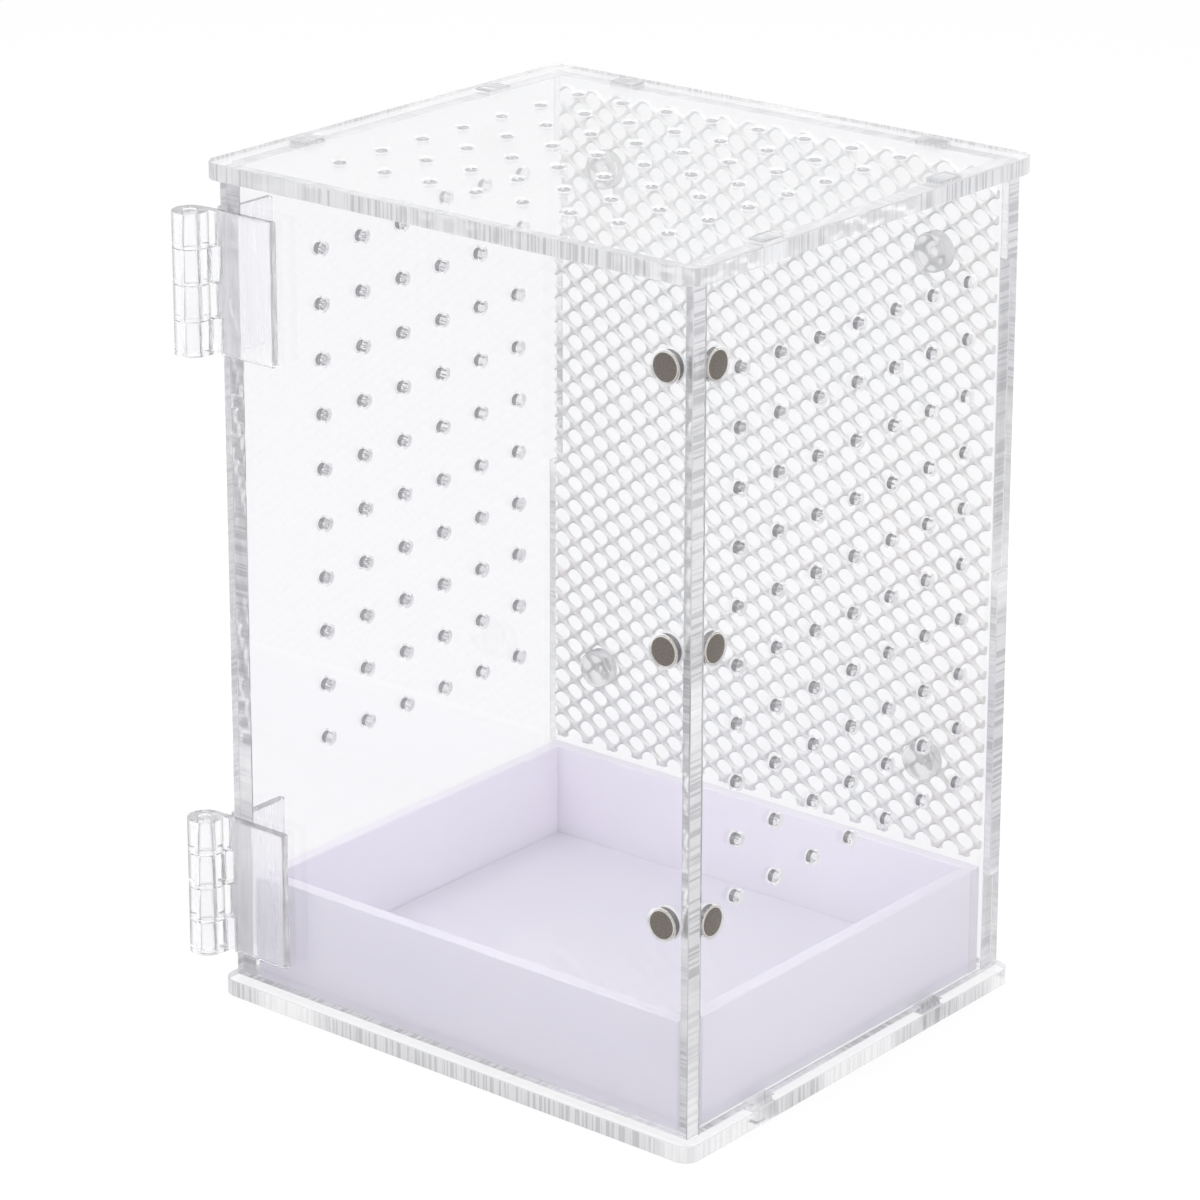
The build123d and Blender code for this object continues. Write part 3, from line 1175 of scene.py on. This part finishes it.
@dataclass
class Magnets:
    """The plated discs in the door and in the right wall."""

    rim: float = 0.13 * MM
    sides: int = 64
    smooth_under: float = math.radians(50)

    def disc(self, node: str, flat: Flat, body: str, finish: bpy.types.Material) -> None:
        """Makes one disc, whose rims are quarter arcs.

        Args:
            node: The disc's node.
            flat: Its axis.
            body: The body that it moves with.
            finish: Its material.
        """
        low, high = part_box(node)
        axis = flat.value[2]
        centre = tuple((low[i] + high[i]) / 2 for i in flat.value[:2])
        radius = (high.z - low.z) / 2
        near = rounded_end(radius, low[axis], self.rim)
        far = near[::-1] * (1, -1) + (0, low[axis] + high[axis])
        profile = np.concatenate([near, far])
        thing = turned(f"{node}_disc", flat, centre, profile, self.sides, self.smooth_under)
        marked(thing.data, CUT, np.abs(per_face(thing.data, "normal")[:, axis]) < FACING)
        finished(thing, finish, body, node)

    def build(self) -> None:
        """Makes all discs."""
        finish = Plating("nickel_plating").material()
        for row in Row:
            self.disc(f"door_magnet_{row.value}", Flat.Y, DOOR_BODY, finish)
            self.disc(f"wall_magnet_{row.value}", Flat.X, BOX_BODY, finish)


@dataclass
class Hinge:
    """One moulded hinge: two leaves with interleaved knuckles, and a pin."""

    place: str
    finish: bpy.types.Material
    pin_finish: bpy.types.Material
    barrel_radius: float = 3.1 * MM
    pin_off: float = 3.45 * MM
    bore_radius: float = 1.25 * MM
    leaf_thickness: float = 1.5 * MM
    leaf_setback: float = 0.9 * MM
    leaf_corner: float = 0.3 * MM
    leaf_arris: float = 0.25 * MM
    contact: float = 0.03 * MM
    overlap: float = 0.4 * MM
    knuckle_count: int = 4
    knuckle_gap: float = 0.2 * MM
    knuckle_arris: float = 0.01 * MM
    corner_steps: int = 6
    pin_rim: float = 0.2 * MM
    soften: float = 0.12 * MM
    merge: float = 0.001 * MM
    sides: int = 72
    bevel_over: float = math.radians(50)
    smooth_under: float = math.radians(35)
    pin_smooth_under: float = math.radians(50)

    def leaf(self, label: str, body: str, along_axis: int, lowest: int) -> None:
        """Makes one leaf: a plate on its panel, knuckles with their webs, and the bore through them.

        The profile is drawn by its distance along the panel and its distance off the panel's face.

        Args:
            label: The end of the leaf's node name.
            body: The body that it moves with.
            along_axis: 0 for the door's leaf and 1 for the wall's.
            lowest: Which knuckle from below is its first.
        """
        node = f"{self.place}_hinge_{label}"
        low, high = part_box(node)
        off_axis = 1 - along_axis
        corner_along = low[along_axis] + self.barrel_radius + self.pin_off
        corner_off = high[off_axis]
        end = high[along_axis] - corner_along

        def laid(points: np.ndarray) -> np.ndarray:
            """Turns profile points into X and Y, counter-clockwise for either leaf.

            Args:
                points: Rows of the distances along and off.

            Returns:
                The same points as rows of X and Y.
            """
            out = np.empty_like(points)
            out[:, along_axis] = corner_along + points[:, 0]
            out[:, off_axis] = corner_off - points[:, 1]
            return out if along_axis == 1 else out[::-1]

        steps = np.linspace(-QUARTER, 0, self.corner_steps + 1)
        turn = np.concatenate([steps, steps + QUARTER])
        far = end - self.leaf_corner
        top = high.z - self.leaf_corner
        bottom = low.z + self.leaf_corner
        arc_z = np.where(turn < 0, bottom, top)
        arc_z[self.corner_steps] = bottom
        arc = np.stack([corner_along + far + self.leaf_corner * np.cos(turn),
                        arc_z + self.leaf_corner * np.sin(turn)], axis=1)
        start = corner_along + self.leaf_setback
        plate_loop = np.concatenate([[(start, low.z)], arc, [(start, high.z)]])
        flat = Flat.Y if along_axis == 0 else Flat.X
        thing = flat_solid(f"{node}_moulding", flat, plate_loop, [],
                           corner_off - self.leaf_thickness, corner_off - self.contact, self.leaf_arris)
        pitch = (high.z - low.z) / self.knuckle_count
        meet = math.asin((self.leaf_thickness - self.pin_off) / self.barrel_radius)
        around = np.linspace(-QUARTER, meet - 4 * QUARTER, self.sides)
        barrel = np.stack([-self.pin_off + self.barrel_radius * np.cos(around),
                           self.pin_off + self.barrel_radius * np.sin(around)], axis=1)
        inner = self.leaf_setback + self.overlap
        outline = np.concatenate([
            [(inner, self.contact), (0.0, self.contact)],
            barrel,
            [(inner, self.leaf_thickness)],
        ])
        for knuckle in range(lowest, self.knuckle_count, 2):
            base = low.z + knuckle * pitch + self.knuckle_gap / 2
            upper = base + pitch - self.knuckle_gap
            block = flat_solid("knuckle", Flat.Z, laid(outline), [], base, upper, self.knuckle_arris)
            joined(thing, block, "UNION")
        axis_xy = laid(np.array([[-self.pin_off, self.pin_off]]))[0]
        bore = np.array([(self.bore_radius, low.z - MM), (self.bore_radius, high.z + MM)])
        drill = turned("bore", Flat.Z, tuple(axis_xy), bore, self.sides // 2, self.smooth_under)
        joined(thing, drill, "DIFFERENCE")
        changed(thing, "BEVEL", width=self.soften, segments=2, limit_method="ANGLE",
                angle_limit=self.bevel_over, use_clamp_overlap=True)
        tidy(thing.data, self.smooth_under, self.merge)
        on_back = per_face(thing.data, "center")[:, off_axis] > corner_off - 2 * self.contact
        facing_back = per_face(thing.data, "normal")[:, off_axis] > FACING
        thing.data.attributes.remove(thing.data.attributes[CUT])
        marked(thing.data, CUT, on_back & facing_back)
        finished(thing, self.finish, body, node)

    def pin(self) -> None:
        """Makes the pin, a rod with rounded ends."""
        node = f"{self.place}_hinge_pin"
        low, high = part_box(node)
        radius = (high.x - low.x) / 2
        lower = rounded_end(radius, low.z, self.pin_rim)
        upper = lower[::-1] * (1, -1) + (0, low.z + high.z)
        profile = np.concatenate([lower, upper])
        centre = ((low.x + high.x) / 2, (low.y + high.y) / 2)
        sides, angle = self.sides // 2, self.pin_smooth_under
        thing = turned(f"{node}_rod", Flat.Z, centre, profile, sides, angle)
        finished(thing, self.pin_finish, BOX_BODY, node)

    def build(self) -> None:
        """Makes both leaves and the pin."""
        self.leaf("door_leaf", DOOR_BODY, 0, 1)
        self.leaf("wall_leaf", BOX_BODY, 1, 0)
        self.pin()


@dataclass
class Tray:
    """The milky tray, made of five sheets."""

    arris: float = 0.15 * MM
    floor_through: float = 0.27
    # Painted light: a paler copy of the milky colour for the two walls away from the camera.
    painted_backlight: Colour = (0.925, 0.895, 0.97)
    walls: tuple[tuple[str, Flat], ...] = (
        ("tray_front", Flat.Y),
        ("tray_back", Flat.Y),
        ("tray_left", Flat.X),
        ("tray_right", Flat.X),
        ("tray_floor", Flat.Z),
    )

    def build(self) -> None:
        """Makes each sheet as a flat solid with softened arrises.

        The floor lets a little more light through, and the two walls away from the camera carry painted light
        that makes them paler, standing in for the light behind them.
        """
        wall_finish = MilkySheet("milky_sheet").material()
        painted_backlight_finish = MilkySheet("milky_painted_backlight", colour=self.painted_backlight).material()
        floor_finish = MilkySheet("milky_floor", through_share=self.floor_through).material()
        finishes = {"tray_floor": floor_finish, "tray_left": painted_backlight_finish, "tray_back": painted_backlight_finish}
        for node, flat in self.walls:
            low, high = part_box(node)
            a, b, across = flat.value
            outline = np.array([(low[a], low[b]), (high[a], low[b]), (high[a], high[b]), (low[a], high[b])])
            thing = flat_solid(f"{node}_sheet", flat, outline, [], low[across], high[across], self.arris)
            finished(thing, finishes.get(node, wall_finish), BOX_BODY, node)


@dataclass
class Net:
    """The climbing net: slanting strands round rounded gaps."""

    pitch_across: float = 5.88 * MM
    pitch_high: float = 4.5 * MM
    gap_half_across: float = 2.02 * MM
    gap_half_high: float = 1.56 * MM
    roundness: float = 1.5
    strand_round: float = 0.3 * MM
    seat_round: float = 0.2 * MM
    gap_sides: int = 16
    gap_at: Point = (8.0 * MM, 121.0 * MM)
    contact: float = 0.03 * MM
    merge: float = 0.01 * MM
    cut_slack: float = 1e-7
    smooth_under: float = math.radians(70)

    def cell(self, low: float, high: float) -> tuple[np.ndarray, np.ndarray]:
        """Works out the surface round one gap, from strand crest to strand crest.

        The gap's rim is a superellipse: half width times |cos| to the power 2/roundness, likewise for
        the height with |sin|. The cell's border is a diamond: the same two powers over their sum, times
        half a pitch, which spaces the points alike on the border of the next cell. The rings run from
        the border at one face, over the rim at two levels, to the border at the other face.

        Args:
            low: The net's face towards the room.
            high: Its face on the wall.

        Returns:
            The points, ring by ring, and the faces between the rings.
        """
        angle = np.arange(self.gap_sides) * (2 * math.pi / self.gap_sides)
        cosine, sine = np.cos(angle), np.sin(angle)
        power = 2 / self.roundness
        unit = np.stack([np.sign(part) * np.abs(part) ** power for part in (cosine, sine)], axis=1)
        rim = unit * (self.gap_half_across, self.gap_half_high)
        diamond = unit / np.abs(unit).sum(axis=1, keepdims=True)
        border = diamond * (self.pitch_across / 2, self.pitch_high / 2)
        levels = (low, low + self.strand_round, high - self.seat_round, high)
        rings = [Flat.Y.place(ring, level) for ring, level in zip((border, rim, rim, border), levels)]
        return np.concatenate(rings), ring_faces(len(rings), self.gap_sides)

    def build(self) -> None:
        """Repeats the cell over the net, joins the crests and cuts the four sides straight."""
        low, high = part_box("climbing_net")
        points, faces = self.cell(low.y, high.y - self.contact)
        half_x, half_z = self.pitch_across / 2, self.pitch_high / 2
        at_x, at_z = self.gap_at
        columns = np.arange(math.floor((low.x - at_x) / half_x) - 1, math.ceil((high.x - at_x) / half_x) + 2)
        rows = np.arange(math.floor((low.z - at_z) / half_z) - 1, math.ceil((high.z - at_z) / half_z) + 2)
        column, row = (part.ravel() for part in np.meshgrid(columns, rows))
        even = (column + row) % 2 == 0
        shift = Flat.Y.place(np.stack([at_x + column[even] * half_x, at_z + row[even] * half_z], axis=1), 0.0)
        all_points = (points[None] + shift[:, None]).reshape(-1, 3)
        all_faces = (faces[None] + np.arange(len(shift))[:, None, None] * len(points)).reshape(-1, 4)
        mesh = bpy.data.meshes.new("climbing_net_strands")
        mesh.from_pydata(all_points.tolist(), [], all_faces.tolist())
        marked(mesh, CUT, np.tile(np.repeat([0.0, 1.0, 0.0], self.gap_sides), len(shift)))
        work = bmesh.new()
        work.from_mesh(mesh)
        bmesh.ops.remove_doubles(work, verts=work.verts, dist=self.merge)
        for corner, normal in ((low, (-1, 0, 0)), (high, (1, 0, 0)), (low, (0, 0, -1)), (high, (0, 0, 1))):
            parts = work.verts[:] + work.edges[:] + work.faces[:]
            found = bmesh.ops.bisect_plane(work, geom=parts, dist=self.cut_slack, plane_co=corner,
                                           plane_no=normal, clear_outer=True)
            rims = [part for part in found["geom_cut"] if isinstance(part, bmesh.types.BMEdge)]
            bmesh.ops.holes_fill(work, edges=rims, sides=0)
        work.to_mesh(mesh)
        work.free()
        tidy(mesh, self.smooth_under)
        thing = new_object("climbing_net_strands", mesh)
        finished(thing, NetPlastic("net_plastic").material(), BOX_BODY, "climbing_net")


@dataclass
class NetButtons:
    """The four round buttons that hold the net."""

    stem_radius: float = 1.0 * MM
    head_height: float = 2.6 * MM
    contact: float = 0.03 * MM
    rim: float = 0.8 * MM
    rim_steps: int = 6
    dish_radii: Span = (0.3, 0.55)
    dish_depths: Span = (0.25 * MM, 0.05 * MM)
    sides: int = 56
    smooth_under: float = math.radians(35)
    tint: Colour = (0.86, 0.86, 0.86)
    roughness: float = 0.22

    def build(self) -> None:
        """Turns each button: a head with a sunk face and a quarter arc as its rim, and a stem behind it."""
        finish = ClearMoulding("button_plastic", tint=self.tint, roughness=self.roughness).material()
        for row in (Row.LOWER, Row.UPPER):
            for column in ("left", "right"):
                node = f"net_button_{row.value}_{column}"
                low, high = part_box(node)
                radius = (high.z - low.z) / 2
                seat = low.y + self.head_height - self.contact
                arc = rounded_end(radius, low.y, self.rim, self.rim_steps)
                shares = zip(self.dish_radii, self.dish_depths)
                dish = [(share * radius, low.y + deep) for share, deep in shares]
                back = np.array([
                    (radius, seat),
                    (self.stem_radius, seat),
                    (self.stem_radius, high.y - self.contact),
                ])
                profile = np.concatenate([dish, arc, back])
                centre = ((low.x + high.x) / 2, (low.z + high.z) / 2)
                thing = turned(f"{node}_cap", Flat.Y, centre, profile, self.sides, self.smooth_under)
                finished(thing, finish, BOX_BODY, node)


@dataclass(frozen=True)
class Lamp:
    """A square soft lamp: its name, where it stands, its side and its power in watts."""

    name: str
    place: Place
    size: float
    power: float


@dataclass
class Studio:
    """The floor, the light round the box and the camera."""

    floor_half: float = 6.0
    floor_white: float = 1.0
    floor_share: float = 0.85
    floor_paint: Colour = (0.75, 0.75, 0.75)
    ambient: float = 1.0
    sky_span: Span = (0.5, 0.9)
    sky_low: float = 0.97
    sky_high: float = 0.7
    aim: Place = (0.0, 0.0, 0.07)
    lamps: tuple[Lamp, ...] = (
        Lamp("key_lamp", (-0.3, -0.5, 0.9), 0.6, 1.6),
        Lamp("fill_lamp", (0.75, -0.25, 0.5), 0.6, 1.3),
        Lamp("top_lamp", (0.0, 0.0, 0.9), 0.7, 5.2),
    )
    eye: Place = (0.454924, -0.562338, 0.336119)
    right: Place = (0.7741402, 0.6330110, 0.0020003)
    down: Place = (0.1839781, -0.2219700, -0.9575392)
    forward: Place = (-0.6056888, 0.7416377, -0.2882961)
    focal_pixels: float = 4499.26
    frame_pixels: float = 1200.0
    centre_row: float = 340.0
    sensor: float = 36.0
    clip: Span = (0.01, 50.0)
    bounces: int = 28
    diffuse_bounces: int = 8

    def shown(self, nodes: Nodes) -> Socket:
        """Tells which rays see the background's own white.

        Args:
            nodes: The material's nodes.

        Returns:
            1 for rays from the camera, from gloss and through clear pieces, and 0 for others.
        """
        path = nodes.add("LightPath")
        either = nodes.larger(path.outputs["Is Camera Ray"], path.outputs["Is Glossy Ray"])
        return nodes.larger(either, path.outputs["Is Transmission Ray"])

    def floor(self) -> None:
        """Makes a white floor that keeps a faint shadow."""
        corners = np.array([(-1, -1, 0), (1, -1, 0), (1, 1, 0), (-1, 1, 0)]) * self.floor_half
        mesh = bpy.data.meshes.new("floor")
        mesh.from_pydata(corners.tolist(), [], [(0, 1, 2, 3)])
        thing = new_object("floor", mesh)
        material, nodes, output = started("floor_white")
        paint = nodes.add("BsdfDiffuse")
        paint.inputs["Color"].default_value = (*self.floor_paint, 1)
        glow = nodes.add("Emission")
        glow.inputs["Strength"].default_value = self.floor_white
        share = nodes.product(self.shown(nodes), self.floor_share)
        nodes.feed(output.inputs["Surface"], nodes.mixed(share, paint.outputs[0], glow.outputs[0]))
        mesh.materials.append(material)

    def surroundings(self) -> None:
        """Makes a white world that turns greyer above the horizon where gloss and clear pieces see it."""
        world = bpy.data.worlds.new("studio")
        bpy.context.scene.world = world
        world.use_nodes = True
        world.node_tree.nodes.clear()
        nodes = Nodes(world.node_tree)
        output = nodes.add("OutputWorld")
        direction = nodes.add("TexCoord").outputs["Generated"]
        height = nodes.add("SeparateXYZ")
        nodes.feed(height.inputs[0], direction)
        seen = nodes.spread(height.outputs["Z"], self.sky_span, self.sky_low, self.sky_high)
        path = nodes.add("LightPath")
        through = nodes.larger(path.outputs["Is Glossy Ray"], path.outputs["Is Transmission Ray"])
        through = nodes.product(through, nodes.rest(path.outputs["Is Camera Ray"]))
        strength = nodes.blend(through, (self.ambient,) * 3 + (1,), seen)
        strength = nodes.blend(path.outputs["Is Camera Ray"], strength, (1, 1, 1, 1))
        light = nodes.add("Background")
        nodes.feed(light.inputs["Color"], strength)
        nodes.feed(output.inputs["Surface"], light.outputs[0])

    def lamp(self, lamp: Lamp) -> None:
        """Adds a lamp that looks at the middle of the box and isn't mirrored in gloss.

        Args:
            lamp: What it is like.
        """
        light = bpy.data.lights.new(lamp.name, "AREA")
        light.size = lamp.size
        light.energy = lamp.power
        thing = bpy.data.objects.new(lamp.name, light)
        thing.location = lamp.place
        aim = Vector(self.aim) - Vector(lamp.place)
        thing.rotation_euler = aim.to_track_quat("-Z", "Y").to_euler()
        thing.visible_glossy = False
        bpy.context.scene.collection.objects.link(thing)

    def camera(self) -> None:
        """Places the camera where the photograph was taken from."""
        data = bpy.data.cameras.new("camera")
        data.sensor_width = self.sensor
        data.lens = self.focal_pixels / self.frame_pixels * self.sensor
        data.shift_y = (self.centre_row - self.frame_pixels / 2) / self.frame_pixels
        data.clip_start, data.clip_end = self.clip
        thing = bpy.data.objects.new("camera", data)
        columns = np.array([self.right, np.negative(self.down), np.negative(self.forward)]).T
        turn = Matrix(columns.tolist()).to_4x4()
        thing.matrix_world = Matrix.Translation(self.eye) @ turn
        bpy.context.scene.collection.objects.link(thing)
        bpy.context.scene.camera = thing

    def build(self) -> None:
        """Makes the whole studio."""
        scene = bpy.context.scene
        scene.view_settings.view_transform = "Standard"
        for kind in ("max", "glossy", "transmission", "transparent_max"):
            setattr(scene.cycles, f"{kind}_bounces", self.bounces)
        scene.cycles.diffuse_bounces = self.diffuse_bounces
        self.floor()
        self.surroundings()
        for lamp in self.lamps:
            self.lamp(lamp)
        self.camera()


def main() -> None:
    """Builds the studio and every sub-assembly, and notes the size of the result."""
    logging.basicConfig(level=logging.INFO, format="%(name)s %(message)s")
    Studio().build()
    Panels().build()
    Magnets().build()
    moulding = ClearMoulding("clear_moulding").material()
    rod = ClearMoulding("clear_rod", tint=(0.98, 0.98, 0.98)).material()
    for place in ("lower", "upper"):
        Hinge(place, moulding, rod).build()
    Tray().build()
    Net().build()
    NetButtons().build()


if __name__ == "__main__":
    main()
